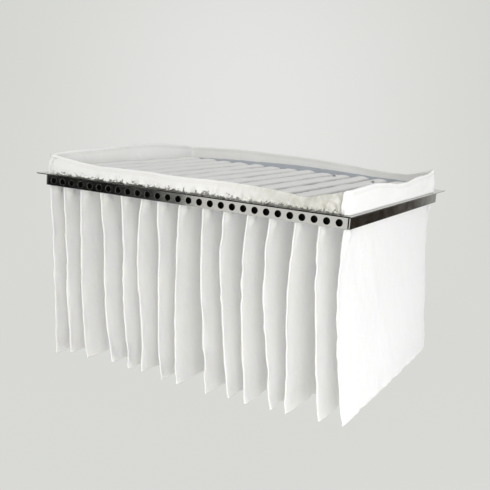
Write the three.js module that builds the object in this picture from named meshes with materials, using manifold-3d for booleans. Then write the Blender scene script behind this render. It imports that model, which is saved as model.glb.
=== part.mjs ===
// Bag air filter: fifteen flat felt pockets hang from a flanged frame of polished sheet steel,
// with a standing felt collar round the mouths of the pockets.
// Millimetres, +Z up, +X along the perforated front, +Y from the front to the back.
// The origin is on the underside of the rear flange, where the filter rests on its housing.

import * as THREE from "three";
import Module from "manifold-3d";
import { mergeVertices } from "three/addons/utils/BufferGeometryUtils.js";

// Steel frame
const frame_length = 708;
const frame_depth = 610;
const frame_height = 24;
const plate_sheet = 2;
const rail_sheet = 2;
const rail_depth = 14;
const end_band_sheet = 2;
const front_ledge = 18;
const rear_ledge = 18;
const flange_left = 29;
const flange_right = 2;
const flange_back = 80;
const left_end_gap = 1.6;
const right_end_gap = 2.5;
const hole_pitch = 25;
const hole_diameter = 14.5;
const hole_sides = 14;
const seat_gap = 0.3;

// Bent flat bars that carry the cloth between the pocket mouths
const bar_width = 24;
const bar_sheet = 2;
const bar_height = 15.4;
const bar_foot = 8;
const bar_riser = 4;
const bar_slope = 12;
const bar_rear_foot = 12;
const bar_front_clearance = 3;
const bar_back_clearance = 1;

// Felt pockets
const felt = 1.8;
const pocket_count = 15;
const pocket_margin_left = 2.4;
const pocket_margin_right = 8.4;
const pocket_gap = 3.2;
const seam_width = 8;
const seam_gap = 0.5;
const neck_height = 4.7;
const pocket_end_inset = 5;
const neck_clearance = 2;
const shoulder_drop = 1.5;
const shoulder_height = 2.5;
const opening_clearance = 1.5;

// The cloth hung plumb while the frame was tilted, so the pockets lean against the frame.
const lean_right = 0.079;
const lean_forward = 0.013;

// How each pocket's front edge hangs, left to right, read by eye: its shift at the frame's
// lower edge, its bow, its S-wave, its kick at the foot, and how much longer it is than most.
const pocket_length = 402;
const pocket_hang = [
  { shift: 0, bow: 4, wave: 0, kick: 7, longer: 4 },
  { shift: -12, bow: 2, wave: 1, kick: 10, longer: -5 },
  { shift: -14, bow: -5, wave: 2, kick: 9, longer: -4 },
  { shift: -11, bow: 2, wave: 5, kick: 27, longer: -8 },
  { shift: -6, bow: 1, wave: 3, kick: 16, longer: -3 },
  { shift: -2, bow: -11, wave: -6, kick: -3, longer: -4 },
  { shift: -13, bow: 0, wave: 2, kick: 6, longer: 1 },
  { shift: -9, bow: -9, wave: -1, kick: -10, longer: 2 },
  { shift: -3, bow: -4, wave: -3, kick: 6, longer: 6 },
  { shift: -4, bow: -9, wave: -4, kick: 10, longer: 3 },
  { shift: -1, bow: -11, wave: -2, kick: -5, longer: 6 },
  { shift: -2, bow: -12, wave: -4, kick: 5, longer: 3 },
  { shift: 2, bow: -12, wave: -3, kick: -16, longer: 3 },
  { shift: 1, bow: -7, wave: -1, kick: 8, longer: 1 },
  { shift: 1, bow: -12, wave: -1, kick: 6, longer: -3 },
];
const rear_hang_share = 0.5;
const rear_hang_partner = 6;
const panel_belly = 3;
const pocket_levels = 6;

// Felt collar, with the height of its hem along each wall
const collar_felt = 2;
const hem_depth = 10;
const hem_swell = 0.8;
const collar_corners = { front_right: 14, back_right: 15, back_left: 12, front_left: 3 };
const collar_inset = 1.5;
const collar_front_line = 7;
const collar_back_line = 5;
const collar_clearance = 5;
const collar_lean_in = 6;
const front_hem = [45, 39, 34, 31, 32, 32.5, 33, 31.5, 31.5, 33, 34, 33, 31.5, 28.5, 24, 35.5, 46];
const right_hem = [46, 49, 51, 47, 40, 39.5, 46.5, 47, 57];
const back_hem = [57, 37, 39.5, 46, 50, 52, 52.5, 54, 50, 46];
const left_hem = [46, 53, 58, 60, 59, 55, 52, 50, 45];
const front_station = 8;
const other_station = 26;
const corner_parts = 3;
const pucker_pitch = 27;
const pucker_lift = 3.2;
const pucker_flare = 1.6;

// Felt bands between the mouths
const band_crown_share = 0.86;
const band_rear_crown = 7.5;
const band_puff = 1.6;
const band_front_gap = 6.5;
const band_back_gap = 2.5;

const steel = { color: 0x9a9a98, roughness: 0.22, metalness: 1 };
const bar_steel = { color: 0xa9a9a6, roughness: 0.35, metalness: 1 };
const white_felt = { color: 0xf2f2ee, roughness: 0.95, metalness: 0 };
const inner_felt = { color: 0xdedee6, roughness: 0.95, metalness: 0 };

const wasm = await Module();
wasm.setup();

const filter = new THREE.Group();

// Places worked out from the driving sizes
const half_length = frame_length / 2;
const hole_count = Math.floor(frame_length / hole_pitch);
const left_band_x = -half_length - left_end_gap - end_band_sheet;
const right_band_x = half_length + right_end_gap + end_band_sheet;
const rail_top = -plate_sheet - seat_gap;
const pocket_half = pocket_gap / 2 + felt;
const seam_half = felt + seam_gap / 2;
const first_pocket_x = pocket_margin_left - half_length;
const last_pocket_x = half_length - pocket_margin_right;
const pocket_pitch = (last_pocket_x - first_pocket_x) / (pocket_count - 1);
const neck_front = Math.max(front_ledge, rail_depth) + neck_clearance;
const neck_back = frame_depth - Math.max(rear_ledge, rail_depth) - neck_clearance;
const neck_foot = -frame_height - shoulder_drop;
const opening_left = first_pocket_x - pocket_half - opening_clearance;
const opening_right = last_pocket_x + pocket_half + opening_clearance;
const bar_top = seat_gap + bar_height;
const bar_front = collar_front_line + collar_felt / 2 + bar_front_clearance;
const bar_back = frame_depth + collar_back_line - collar_felt / 2 - bar_back_clearance;

function pocketX(k) {
  return first_pocket_x + k * pocket_pitch;
}

function addPiece(name, geometry, finish) {
  const mesh = new THREE.Mesh(geometry, new THREE.MeshStandardMaterial(finish));
  mesh.name = name;
  filter.add(mesh);
  return mesh;
}

// A solid with one surface on each face of a sheet. Both grids have the same rows and columns,
// and a looped sheet joins its last row to its first.
function sheetSolid(front, back, looped = false) {
  const rows = front.length;
  const columns = front[0].length;
  const positions = [...front.flat(), ...back.flat()].flatMap((p) => [p.x, p.y, p.z]);
  const indices = [];
  const F = (i, j) => (i % rows) * columns + j;
  const B = (i, j) => rows * columns + F(i, j);
  const quad = (a, b, c, d) => indices.push(a, b, c, a, c, d);
  const spans = looped ? rows : rows - 1;
  const edge = columns - 1;
  for (let i = 0; i < spans; i++) {
    for (let j = 0; j < edge; j++) {
      quad(F(i, j), F(i + 1, j), F(i + 1, j + 1), F(i, j + 1));
      quad(B(i, j), B(i, j + 1), B(i + 1, j + 1), B(i + 1, j));
    }
    quad(F(i + 1, 0), F(i, 0), B(i, 0), B(i + 1, 0));
    quad(F(i, edge), F(i + 1, edge), B(i + 1, edge), B(i, edge));
  }
  if (!looped) {
    const last = rows - 1;
    for (let j = 0; j < edge; j++) {
      quad(F(0, j), F(0, j + 1), B(0, j + 1), B(0, j));
      quad(F(last, j + 1), F(last, j), B(last, j), B(last, j + 1));
    }
  }
  const geometry = new THREE.BufferGeometry();
  geometry.setAttribute("position", new THREE.Float32BufferAttribute(positions, 3));
  geometry.setIndex(indices);
  return geometry;
}

// A section drawn in Y and Z, pushed along +X
function alongX(section, length) {
  const geometry = new THREE.ExtrudeGeometry(section, { depth: length, bevelEnabled: false });
  geometry.rotateX(Math.PI / 2);
  geometry.rotateZ(Math.PI / 2);
  return geometry;
}

function toSolid(geometry) {
  const bare = new THREE.BufferGeometry();
  bare.setAttribute("position", geometry.getAttribute("position"));
  bare.setIndex(geometry.getIndex());
  const merged = mergeVertices(bare, 1e-4);
  const vertProperties = merged.attributes.position.array;
  const triVerts = new Uint32Array(merged.index.array);
  return new wasm.Manifold(new wasm.Mesh({ numProp: 3, vertProperties, triVerts }));
}

function toGeometry(solid) {
  const mesh = solid.getMesh();
  const geometry = new THREE.BufferGeometry();
  geometry.setAttribute("position", new THREE.BufferAttribute(mesh.vertProperties, 3));
  geometry.setIndex(new THREE.BufferAttribute(mesh.triVerts, 1));
  return geometry;
}

// A height between listed ones, for a place from 0 to 1 along the list
function heightAt(list, place) {
  const at = THREE.MathUtils.clamp(place, 0, 1) * (list.length - 1);
  const i = Math.min(Math.floor(at), list.length - 2);
  const u = THREE.MathUtils.smoothstep(at - i, 0, 1) * 0.5 + (at - i) * 0.5;
  return list[i] + (list[i + 1] - list[i]) * u;
}

// A flat sheet from z = 0 up, made of the cells between the lines xs and ys, with open cells left out
function cellSheet(xs, ys, thickness, isOpen) {
  const positions = [];
  const indices = [];
  for (const z of [0, thickness]) {
    for (const y of ys) for (const x of xs) positions.push(x, y, z);
  }
  const at = (i, j, top) => (top * ys.length + j) * xs.length + i;
  const quad = (a, b, c, d) => indices.push(a, b, c, a, c, d);
  const filled = (i, j) =>
    i >= 0 && j >= 0 && i < xs.length - 1 && j < ys.length - 1 && !isOpen(i, j);
  const wall = (i0, j0, i1, j1) => quad(at(i0, j0, 0), at(i1, j1, 0), at(i1, j1, 1), at(i0, j0, 1));
  for (let j = 0; j < ys.length - 1; j++) {
    for (let i = 0; i < xs.length - 1; i++) {
      if (!filled(i, j)) continue;
      quad(at(i, j, 1), at(i + 1, j, 1), at(i + 1, j + 1, 1), at(i, j + 1, 1));
      quad(at(i, j, 0), at(i, j + 1, 0), at(i + 1, j + 1, 0), at(i + 1, j, 0));
      if (!filled(i, j - 1)) wall(i, j, i + 1, j);
      if (!filled(i + 1, j)) wall(i + 1, j, i + 1, j + 1);
      if (!filled(i, j + 1)) wall(i + 1, j + 1, i, j + 1);
      if (!filled(i - 1, j)) wall(i, j + 1, i, j);
    }
  }
  const geometry = new THREE.BufferGeometry();
  geometry.setAttribute("position", new THREE.Float32BufferAttribute(positions, 3));
  geometry.setIndex(indices);
  return geometry;
}

// Frame
// The plate's cells end at the rails and at the collar, so its seats are faces of their own.
function makeFlangePlate() {
  const left = left_band_x - flange_left;
  const right = right_band_x + flange_right;
  const collar_foot = frame_depth + collar_back_line + collar_clearance;
  const xs = [left, left_band_x, opening_left, opening_right, right_band_x, right];
  const ys = [0, front_ledge, frame_depth - rear_ledge, frame_depth, collar_foot, frame_depth + flange_back];
  const isOpen = (i, j) => i === 2 && j === 1;
  addPiece("flange_plate", cellSheet(xs, ys, plate_sheet, isOpen), steel).position.z = -plate_sheet;
}

// A channel rail, open towards the plate, with its holes in the wall at y = 0 of its own frame
function makeRail(name) {
  const height = frame_height + rail_top;
  const inside = rail_depth - rail_sheet;
  const section = new THREE.Shape();
  section.moveTo(0, 0);
  section.lineTo(rail_depth, 0);
  section.lineTo(rail_depth, height);
  section.lineTo(inside, height);
  section.lineTo(inside, rail_sheet);
  section.lineTo(rail_sheet, rail_sheet);
  section.lineTo(rail_sheet, height);
  section.lineTo(0, height);
  section.closePath();
  let rail = toSolid(alongX(section, frame_length));
  for (let i = 0; i < hole_count; i++) {
    const x = frame_length / 2 + (i - (hole_count - 1) / 2) * hole_pitch;
    const punch = new THREE.CylinderGeometry(hole_diameter / 2, hole_diameter / 2, 3 * rail_sheet, hole_sides);
    punch.translate(x, 0, frame_height / 2);
    rail = rail.subtract(toSolid(punch));
  }
  return addPiece(name, toGeometry(rail), steel);
}

function makeEndBand(name, x) {
  const height = frame_height + rail_top;
  const band = addPiece(name, new THREE.BoxGeometry(end_band_sheet, frame_depth, height), steel);
  band.position.set(x, frame_depth / 2, rail_top - height / 2);
}

// A flat bar bent into a low bridge: a foot on the front ledge, a level run, and a long slope
// down to a foot on the rear flange.
function makeSupportBar(k) {
  const low = seat_gap;
  const run_front = bar_front + bar_foot + bar_riser;
  const run_back = bar_back - bar_rear_foot - bar_slope;
  const slope_foot = bar_back - bar_rear_foot;
  const upper = [
    [bar_front, low + bar_sheet],
    [bar_front + bar_foot, low + bar_sheet],
    [run_front, bar_top],
    [run_back, bar_top],
    [slope_foot, low + bar_sheet],
    [bar_back, low + bar_sheet],
  ];
  const lower = [
    [bar_back, low],
    [slope_foot - bar_sheet / 3, low],
    [run_back - bar_sheet / 3, bar_top - bar_sheet],
    [run_front + bar_sheet, bar_top - bar_sheet],
    [bar_front + bar_foot + bar_sheet, low],
    [bar_front, low],
  ];
  const outline = new THREE.Shape([...upper, ...lower].map(([y, z]) => new THREE.Vector2(y, z)));
  const bar = addPiece(`support_bar_${pad(k)}`, alongX(outline, bar_width), bar_steel);
  bar.position.x = pocketX(k) + pocket_pitch / 2 - bar_width / 2;
}

function pad(k) {
  return String(k + 1).padStart(2, "0");
}

// Height of a support bar's upper face at a place along its length
function barTopAt(y) {
  const slope_foot = bar_back - bar_rear_foot;
  const share = THREE.MathUtils.clamp((slope_foot - y) / bar_slope, 0, 1);
  const foot_top = seat_gap + bar_sheet;
  return foot_top + (bar_top - foot_top) * share;
}

// Pockets
function sway(hang, z) {
  const t = Math.max(0, (-z - frame_height) / (pocket_length + hang.longer - frame_height));
  return hang.bow * Math.sin(Math.PI * t) + hang.wave * Math.sin(2 * Math.PI * t) + hang.kick * t * t;
}

// Where the middle of pocket k lies at height z, and at v from 0 at its front edge to 1 at its rear
function pocketMiddle(k, v, z) {
  const hang = pocket_hang[k % pocket_hang.length];
  const partner = pocket_hang[(k + rear_hang_partner) % pocket_hang.length];
  const below = Math.max(0, -z - frame_height);
  const settled = THREE.MathUtils.smoothstep(-z, plate_sheet, frame_height);
  const front = hang.shift * settled + sway(hang, z);
  const rear = rear_hang_share * sway(partner, z);
  const depth = below / pocket_length;
  const swing = Math.sin(2 * Math.PI * depth + k) * Math.min(1, 3 * depth);
  const belly = panel_belly * Math.sin(Math.PI * v) * swing;
  return pocketX(k) + lean_right * below + (1 - v) * front + v * rear + belly;
}

// One face of a pocket or of the hollow in it, as rows down the pocket and columns to the back
function pocketFace(k, levels, side, inset, half) {
  const columns = [0, 0.1, 0.5, 0.9, 1];
  return levels.map((z) => {
    const forward = lean_forward * Math.max(0, -z - frame_height);
    const in_neck = z >= neck_foot;
    const front = (in_neck ? neck_front : pocket_end_inset) + inset;
    const back = (in_neck ? neck_back : frame_depth - pocket_end_inset) - inset;
    return columns.map((v) => {
      const y = front + (back - front) * v;
      const x = pocketMiddle(k, v, z) + side * half(v);
      return new THREE.Vector3(x, y - forward, z);
    });
  });
}

function makePocket(k) {
  const bottom = -pocket_length - pocket_hang[k % pocket_hang.length].longer;
  const shoulder_foot = neck_foot - shoulder_height;
  const upper = [-frame_height / 2, neck_foot, shoulder_foot];
  const hanging = (low) => {
    const levels = [];
    for (let i = 1; i < pocket_levels; i++) {
      levels.push(shoulder_foot + ((bottom - shoulder_foot) * i) / pocket_levels);
    }
    return [...levels, low];
  };
  const outer_levels = [neck_height, ...upper, ...hanging(bottom)];
  const inner_levels = [neck_height + 1, ...upper, ...hanging(bottom + seam_width)];
  const outer_half = (v) => (v === 0 || v === 1 ? seam_half : pocket_half);
  const inner_half = (v) => (v === 0 || v === 1 ? seam_gap / 2 : pocket_gap / 2);
  const outer = toSolid(
    sheetSolid(
      pocketFace(k, outer_levels, 1, 0, outer_half),
      pocketFace(k, outer_levels, -1, 0, outer_half),
    ),
  );
  const hollow = toSolid(
    sheetSolid(
      pocketFace(k, inner_levels, 1, seam_width, inner_half),
      pocketFace(k, inner_levels, -1, seam_width, inner_half),
    ),
  );
  addPiece(`pocket_${pad(k)}`, toGeometry(outer.subtract(hollow)), white_felt);
}

// Bands
function makeMouthBand(k) {
  const base = neck_height + seat_gap;
  const reach = pocket_pitch / 2 - pocket_gap / 2;
  const profile = [
    [-1, 0],
    [-0.93, 0.48],
    [-bar_width / 2 / reach, band_crown_share],
    [0, 1],
    [bar_width / 2 / reach, band_crown_share],
    [0.93, 0.48],
    [1, 0],
  ];
  const front = collar_front_line + collar_felt / 2 + band_front_gap;
  const back = frame_depth + collar_back_line - collar_felt / 2 - band_back_gap;
  const slope_foot = bar_back - bar_rear_foot;
  const slope_top = slope_foot - bar_slope;
  const places = [front, (front + slope_top) / 2, slope_top, slope_foot - bar_slope / 2, slope_foot, back];
  const surface = (y, inward) => {
    const lowest = barTopAt(y) + seat_gap + felt;
    const seated = base + (lowest - base) / band_crown_share;
    const crown = Math.max(band_rear_crown, seated) + band_puff * (0.5 + 0.5 * Math.sin(y / 90 + 2 * k));
    return profile.map(([u, rise]) => {
      const x = u * reach - (Math.abs(u) > 0.9 ? Math.sign(u) * inward : 0);
      const z = base + (crown - base) * rise - (rise > 0 ? inward : 0);
      return new THREE.Vector3(pocketX(k) + pocket_pitch / 2 + x, y, z);
    });
  };
  const top = places.map((y) => surface(y, 0));
  const underside = places.map((y) => surface(y, felt));
  addPiece(`mouth_band_${pad(k)}`, sheetSolid(underside, top), inner_felt);
}

// Collar
// The stations round the collar: a point on the middle line of the wall, the outward
// direction, the hem height there, and how much the lower edge is puckered.
function collarStations() {
  const x0 = opening_left - collar_inset;
  const x1 = opening_right + collar_inset;
  const y0 = collar_front_line;
  const y1 = frame_depth + collar_back_line;
  const { front_left, front_right, back_right, back_left } = collar_corners;
  const wide = x1 - x0;
  const deep = y1 - y0;
  const walls = [
    { from: [x0, y0], along: [1, 0], length: wide, hem: front_hem, radii: [front_left, front_right] },
    { from: [x1, y0], along: [0, 1], length: deep, hem: right_hem, radii: [front_right, back_right] },
    { from: [x1, y1], along: [-1, 0], length: wide, hem: back_hem, radii: [back_right, back_left] },
    { from: [x0, y1], along: [0, -1], length: deep, hem: left_hem, radii: [back_left, front_left] },
  ];
  const stations = [];
  for (const { from, along, length, hem, radii } of walls) {
    const is_front = hem === front_hem;
    const pucker = is_front ? 1 : 0;
    const out = new THREE.Vector2(along[1], -along[0]);
    const straight = length - radii[0] - radii[1];
    const spans = Math.round(straight / (is_front ? front_station : other_station));
    for (let i = 0; i <= spans; i++) {
      const s = radii[0] + (straight * i) / spans;
      const point = new THREE.Vector2(from[0] + along[0] * s, from[1] + along[1] * s);
      const ease = Math.sin(Math.PI * Math.min(1, i / spans));
      stations.push({ point, out, hem: heightAt(hem, s / length), pucker: pucker * ease, s });
    }
    const end = length - radii[1];
    const centre = new THREE.Vector2(from[0] + along[0] * end, from[1] + along[1] * end);
    centre.addScaledVector(out, -radii[1]);
    for (let i = 1; i < corner_parts; i++) {
      const turned = out.clone().rotateAround(new THREE.Vector2(), (Math.PI / 2) * (i / corner_parts));
      const point = centre.clone().addScaledVector(turned, radii[1]);
      stations.push({ point, out: turned, hem: hem[hem.length - 1], pucker: 0, s: length });
    }
  }
  return stations;
}

function makeCollar() {
  const half = collar_felt / 2;
  const outer = [];
  const inner = [];
  for (const { point, out, hem, pucker, s } of collarStations()) {
    const turn = (2 * Math.PI * s) / pucker_pitch;
    const wave = Math.sin(turn) + 0.6 * Math.sin(turn / 1.7);
    const lift = pucker * pucker_lift * Math.max(0, wave);
    const flare = pucker * pucker_flare * wave;
    const ripple = 1.5 * Math.sin(s / 47) + 1.2 * Math.sin(s / 23);
    const place = (across, z) => {
      const rise = z / hem;
      const offset = across + ripple * Math.sin(Math.PI * rise) - collar_lean_in * rise * rise;
      return new THREE.Vector3(point.x + out.x * offset, point.y + out.y * offset, z);
    };
    const foot = seat_gap + lift;
    const levels = [
      [flare, foot],
      [flare * 0.4, hem * 0.4],
      [0, hem - hem_depth],
      [hem_swell, hem],
    ];
    outer.push(levels.map(([swell, z]) => place(half + swell, z)));
    inner.push(levels.map(([swell, z], i) => place((i === 3 ? -hem_swell : swell) - half, z)));
  }
  addPiece("collar", sheetSolid(outer, inner, true), white_felt);
}

makeFlangePlate();
makeRail("front_rail").position.set(-half_length, 0, -frame_height);
const back_rail = makeRail("back_rail");
back_rail.rotation.z = Math.PI;
back_rail.position.set(half_length, frame_depth, -frame_height);
makeEndBand("left_end_band", left_band_x + end_band_sheet / 2);
makeEndBand("right_end_band", right_band_x - end_band_sheet / 2);
for (let k = 0; k < pocket_count; k++) makePocket(k);
for (let k = 0; k < pocket_count - 1; k++) {
  makeSupportBar(k);
  makeMouthBand(k);
}
makeCollar();

filter.position.set(0, -frame_depth - flange_back / 2, plate_sheet);

export default filter;
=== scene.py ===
"""Bag air filter: felt pockets, collar and mouth bands on a polished steel frame."""
import math
import random

import bpy
import numpy as np
from bpy.props import FloatProperty, FloatVectorProperty, IntProperty, PointerProperty
from mathutils import Matrix, Vector, noise
from mathutils.bvhtree import BVHTree


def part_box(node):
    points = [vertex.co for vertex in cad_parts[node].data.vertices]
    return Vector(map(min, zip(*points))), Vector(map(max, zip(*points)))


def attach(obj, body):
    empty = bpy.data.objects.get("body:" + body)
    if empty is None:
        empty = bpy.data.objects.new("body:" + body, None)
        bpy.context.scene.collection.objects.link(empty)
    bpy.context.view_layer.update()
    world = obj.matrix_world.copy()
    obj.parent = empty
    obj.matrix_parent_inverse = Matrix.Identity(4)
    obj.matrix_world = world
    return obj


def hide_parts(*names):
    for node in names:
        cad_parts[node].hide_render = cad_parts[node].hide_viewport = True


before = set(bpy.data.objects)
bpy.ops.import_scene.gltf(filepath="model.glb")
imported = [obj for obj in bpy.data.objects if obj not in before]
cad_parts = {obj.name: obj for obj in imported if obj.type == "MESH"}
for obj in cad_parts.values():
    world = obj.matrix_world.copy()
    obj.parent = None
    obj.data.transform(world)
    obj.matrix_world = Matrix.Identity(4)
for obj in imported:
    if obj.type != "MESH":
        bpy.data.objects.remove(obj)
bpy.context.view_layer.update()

bl_info = {
    "name": "Bag air filter",
    "version": (1, 0, 0),
    "blender": (4, 5, 0),
    "location": "View3D > Sidebar > Filter",
    "description": "Dresses the frame of a bag air filter with felt, stitching and polished steel",
    "category": "Object",
}

MM = 0.001


def nodes_like(start):
    """The names of the CAD nodes that start with these letters, in order."""
    return sorted(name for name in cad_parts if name.startswith(start))


POCKETS = nodes_like("pocket_")
MOUTH_BANDS = nodes_like("mouth_band_")
SUPPORT_BARS = nodes_like("support_bar_")
RAIL_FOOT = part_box("front_rail")[0].z


# ---------------------------------------------------------------- sizes and colours

def length_setting(name, description, default, least, most):
    """A length setting, given in millimetres."""
    return FloatProperty(name=name, description=description, default=default * MM,
                         min=least * MM, max=most * MM, unit="LENGTH", subtype="DISTANCE")


class FilterSizes(bpy.types.PropertyGroup):
    """Sizes of the sewn and pressed details."""

    felt: length_setting("Felt thickness", "Thickness of one layer of felt", 1.8, 0.5, 4)
    seam: length_setting("Seam width", "Flat sewn edge along a pocket's sides and foot", 7, 3, 15)
    puff: length_setting("Pocket puff", "How far a pocket's wall swells beside its seams", 0.4, 0, 5)
    stitch: length_setting("Stitch spacing", "From one stitch of a seam to the next", 5, 2, 12)
    thread: length_setting("Thread thickness", "Diameter of the sewing thread", 0.7, 0.2, 2)
    hem_line: length_setting(
        "Hem stitch line", "From the collar's upper edge to its first row of stitches", 6, 2, 12)
    hem_gap: length_setting("Hem row gap", "Between the two rows of stitches of the hem", 3.5, 1, 8)
    corner_seam: length_setting(
        "Corner seam", "From the collar's front right corner to the seam beside it", 17, 16, 60)
    fold: length_setting("Fold height", "How deep the soft folds in the cloth are", 1.6, 0, 5)
    edge: length_setting("Steel edge", "Radius of the deburred edges of the sheet steel", 0.35, 0.05, 1)
    hole_sides: IntProperty(
        name="Hole sides", description="How many sides each round hole of the rails is drawn with",
        default=40, min=12, max=96)


def colour_setting(name, description, text):
    """A colour setting whose default is an sRGB hex value."""
    return FloatVectorProperty(name=name, description=description, subtype="COLOR", size=3,
                               min=0, max=1, default=linear(text)[:3])


def linear(text):
    """An sRGB hex value as linear red, green, blue and alpha."""
    values = [int(text[i:i + 2], 16) / 255 for i in (1, 3, 5)]
    return tuple(v / 12.92 if v <= 0.04045 else ((v + 0.055) / 1.055) ** 2.4 for v in values) + (1.0,)


class FilterColours(bpy.types.PropertyGroup):
    """Colours of the cloth, the steel and the studio."""

    felt: colour_setting("Felt", "Needle felt of the pockets and the collar", "#F9F9F7")
    inner_felt: colour_setting("Inner felt", "Needle felt of the bands between the mouths", "#F4F4F2")
    # Painted shade: the colour of a darker strip of felt laid along the foot of the back wall, where shade
    # falls
    back_foot_shade: colour_setting("Back foot shade", "Strip of felt along the foot of the back wall", "#C6CBD2")
    # Painted shade: greys the collar's front wall towards its corner seam, in patches shaped like wrinkles
    corner_shade: colour_setting("Corner shade", "Where hands have greyed the collar by its corner seam", "#CDCCC3")
    # Painted shade: the dark streaks stand for the shade in the crumples of the collar's front foot
    crumple: colour_setting("Crumpled foot", "Dark streaks where the collar's foot is gathered", "#62625A")
    # Painted shade: this dark colour stands for the shade in the slits between the mouths and at the tucks'
    # open fronts
    band_shade: colour_setting("Dust", "Dust that settles in the slits between the mouths", "#4E5052")
    thread: colour_setting("Thread", "Polyester sewing thread", "#E4E3DC")
    steel: colour_setting("Steel", "Polished stainless steel", "#CBCAC6")
    floor: colour_setting("Studio floor", "Floor and backdrop", "#DEDFDB")
    backdrop: colour_setting("Backdrop glow", "Where the backdrop is lit most", "#F0F0EE")
    # Painted shade: the rails' inner faces are drawn near black for the shade inside the channel, seen
    # through the holes
    channel_shade: colour_setting("Channel inside", "Unpolished inner faces of the rails", "#2E2D2A")


# ---------------------------------------------------------------- materials

def add(tree, kind, settings=None, links=None):
    """One shader node with its settings, and with links from other nodes' outputs."""
    node = tree.nodes.new("ShaderNode" + kind)
    for key, value in (settings or {}).items():
        if isinstance(key, int) or key in node.inputs:
            node.inputs[key].default_value = value
        else:
            setattr(node, key, value)
    for key, source in (links or {}).items():
        tree.links.new(source, node.inputs[key])
    return node


def new_material(name):
    material = bpy.data.materials.new(name)
    material.use_nodes = True
    material.node_tree.nodes.clear()
    return material, material.node_tree


def with_alpha(colour):
    return tuple(colour) + (1.0,)


def spread(from_low, from_high, to_low=0.0, to_high=1.0, **more):
    """Settings that map one range of values to another."""
    return {"From Min": from_low, "From Max": from_high, "To Min": to_low, "To Max": to_high, **more}


def stained(tree, base, colour, shares):
    """Mixes a stain's colour into the felt, by the product of all its shares."""
    share = shares[0]
    for other in shares[1:]:
        share = add(tree, "Math", {"operation": "MULTIPLY"}, {0: share, 1: other}).outputs["Value"]
    return add(tree, "Mix", {"data_type": "RGBA", 7: with_alpha(colour)},
               {"Factor": share, 6: base}).outputs[2]


def needle_felt(name, colour, fold_scale=1.0, through=0.7, corner_shade=None, crumple=None, band_shade=None):
    """Polyester needle felt, needled and calendered: matt, faintly furry, with a soft uneven
    surface of fibre clumps about 2 mm across and slow lumps some 25 mm across. Light passes
    through one layer, so the gaps between the pockets glow."""
    material, tree = new_material(name)
    spot = add(tree, "TexCoord").outputs["Object"]
    # Fibre clumps are about 0.5 mm; drawn 2 mm across so that they show.
    fibres = add(tree, "TexNoise", {"Scale": 1 / (2 * MM), "Detail": 4.0, "Roughness": 0.6},
                 {"Vector": spot})
    lumps = add(tree, "TexNoise", {"Scale": 1 / (25 * MM), "Detail": 3.0}, {"Vector": spot})
    # The rolls of felt differ a little in whiteness over some 110 mm.
    slow = add(tree, "TexNoise", {"Scale": 9.0, "Detail": 2.0, "Distortion": 0.6}, {"Vector": spot})
    tint = add(tree, "Mix", {"data_type": "RGBA", 6: with_alpha(v * 0.965 for v in colour),
                                       7: with_alpha(colour)}, {"Factor": slow.outputs["Fac"]})
    speck = add(tree, "MapRange", spread(0.3, 0.7, 0.96, 1.0), {"Value": fibres.outputs["Fac"]})
    base = add(tree, "Mix", {"data_type": "RGBA", "blend_type": "MULTIPLY", "Factor": 1.0},
               {6: tint.outputs[2], 7: speck.outputs["Result"]}).outputs[2]
    # Painted shade on the collar's front wall towards its corner seam
    if corner_shade is not None:
        base = painted_corner_shade(tree, spot, slow, base, corner_shade)
    # Painted shade in the crumples of the collar's front foot and in the creases beside its corner seam
    if crumple is not None:
        base = gathered(tree, spot, base, crumple)
    if band_shade is not None:
        # How much painted shade each place gets, in the slits and at the tucks' open fronts, was laid down
        # with the piece's shape.
        amount = add(tree, "Attribute", {"attribute_name": "band_shade"})
        base = stained(tree, base, band_shade, [amount.outputs["Fac"]])
    fine = add(tree, "Bump", {"Strength": 0.35, "Distance": 0.4 * MM},
               {"Height": fibres.outputs["Fac"]})
    broad = add(tree, "Bump", {"Strength": 0.5 * fold_scale, "Distance": 2.5 * MM},
                {"Height": lumps.outputs["Fac"], "Normal": fine.outputs["Normal"]})
    shader = add(tree, "BsdfPrincipled",
                 {"Metallic": 0.0, "Roughness": 0.92, "IOR": 1.5, "Specular IOR Level": 0.25,
                  "Sheen Weight": 0.15, "Sheen Roughness": 0.5, "Subsurface Weight": through,
                  "Subsurface Radius": (1.0, 1.0, 0.82), "Subsurface Scale": 3.0 * MM},
                 {"Base Color": base, "Normal": broad.outputs["Normal"]})
    add(tree, "OutputMaterial", links={"Surface": shader.outputs["BSDF"]})
    return material


def painted_corner_shade(tree, spot, slow, base, corner_shade):
    """Paints shade on the front wall, more so towards the corner seam, in uneven patches."""
    low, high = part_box("collar")
    parts = add(tree, "SeparateXYZ", links={"Vector": spot})
    # Painted shade of wrinkles that run up the wall, twice as long as they are wide
    drawn = add(tree, "Mapping", {"Scale": (1.0, 1.0, 0.5)}, {"Vector": spot})
    creased = add(tree, "TexNoise", {"Scale": 70.0, "Detail": 3.0, "Distortion": 1.0},
                  {"Vector": drawn.outputs["Vector"]})
    smooth = {"interpolation_type": "SMOOTHSTEP"}
    shares = [add(tree, "MapRange", settings, {"Value": source}).outputs["Result"]
              for settings, source in (
                  (spread(high.x * 0.05, high.x * 0.8, **smooth), parts.outputs["X"]),
                  (spread(high.x - 17.5 * MM, high.x - 15.5 * MM, 1.0, 0.0, **smooth), parts.outputs["X"]),
                  (spread(low.y + 10 * MM, low.y + 18 * MM, 1.0, 0.0, **smooth), parts.outputs["Y"]),
                  (spread(0.3, 0.7, 0.75, 1.0), slow.outputs["Fac"]),
                  (spread(0.36, 0.62, 0.62, 1.12), creased.outputs["Fac"]))]
    return stained(tree, base, corner_shade, shares)


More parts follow.
